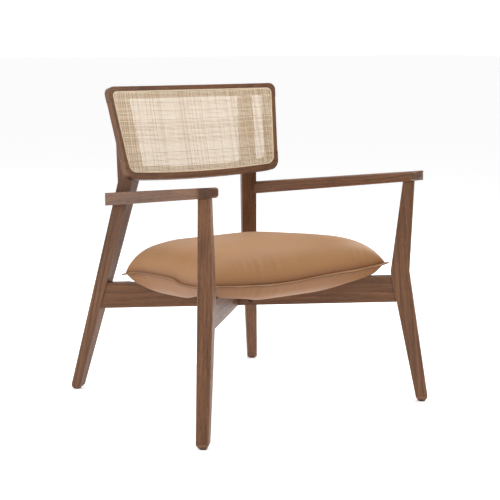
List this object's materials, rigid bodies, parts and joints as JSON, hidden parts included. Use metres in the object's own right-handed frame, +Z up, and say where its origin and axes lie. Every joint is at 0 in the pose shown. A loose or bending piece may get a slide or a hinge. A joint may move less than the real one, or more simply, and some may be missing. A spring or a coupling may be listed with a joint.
{
  "type": "armchair",
  "caption": "Low wooden lounge armchair with crossed seat rails, knee-shaped legs, sloping arms, a curved caned back and a leather cushion seat.",
  "frame": {"origin": "on the floor, under the middle of the chair's bounding box", "axes": "+X sideways to the right seen from the front, +Y to the back, +Z up; the sitter faces -Y"},
  "size_m": [0.706, 0.6628, 0.7727],
  "materials": {
    "walnut": "satin walnut stain",
    "joint_wood": "raw beech",
    "plywood": "raw birch plywood",
    "cane": "natural woven cane",
    "reed": "natural reed",
    "leather": "smooth tan leather",
    "foam": "upholstery foam",
    "steel": "zinc plated",
    "glide": "matte black"
  },
  "bodies": {
    "root": {"front_leg_left": "walnut", "front_leg_right": "walnut", "rear_leg_left": "walnut", "rear_leg_right": "walnut", "cross_rail_left": "walnut", "cross_rail_right": "walnut", "rail_tenons": "joint_wood", "lap_screw": "steel", "rail_pin": "joint_wood", "armrest_left": "walnut", "armrest_right": "walnut", "arm_tenons": "joint_wood", "arm_bolts": "steel", "arm_barrel_nuts": "steel", "arm_bolt_plugs": "walnut", "back_top_rail": "walnut", "back_bottom_rail": "walnut", "back_stile_left": "walnut", "back_stile_right": "walnut", "back_dowels": "joint_wood", "cane_panel": "cane", "cane_spline": "reed", "back_screws": "steel", "back_screw_plugs": "walnut", "seat_board": "plywood", "seat_foam": "foam", "belly_foam": "foam", "seat_cover_top": "leather", "seat_cover_bottom": "leather", "seat_flange": "leather", "seat_tee_nuts": "steel", "seat_bolts": "steel", "foot_glides": "glide", "glide_nails": "steel"}
  },
  "joints": []
}
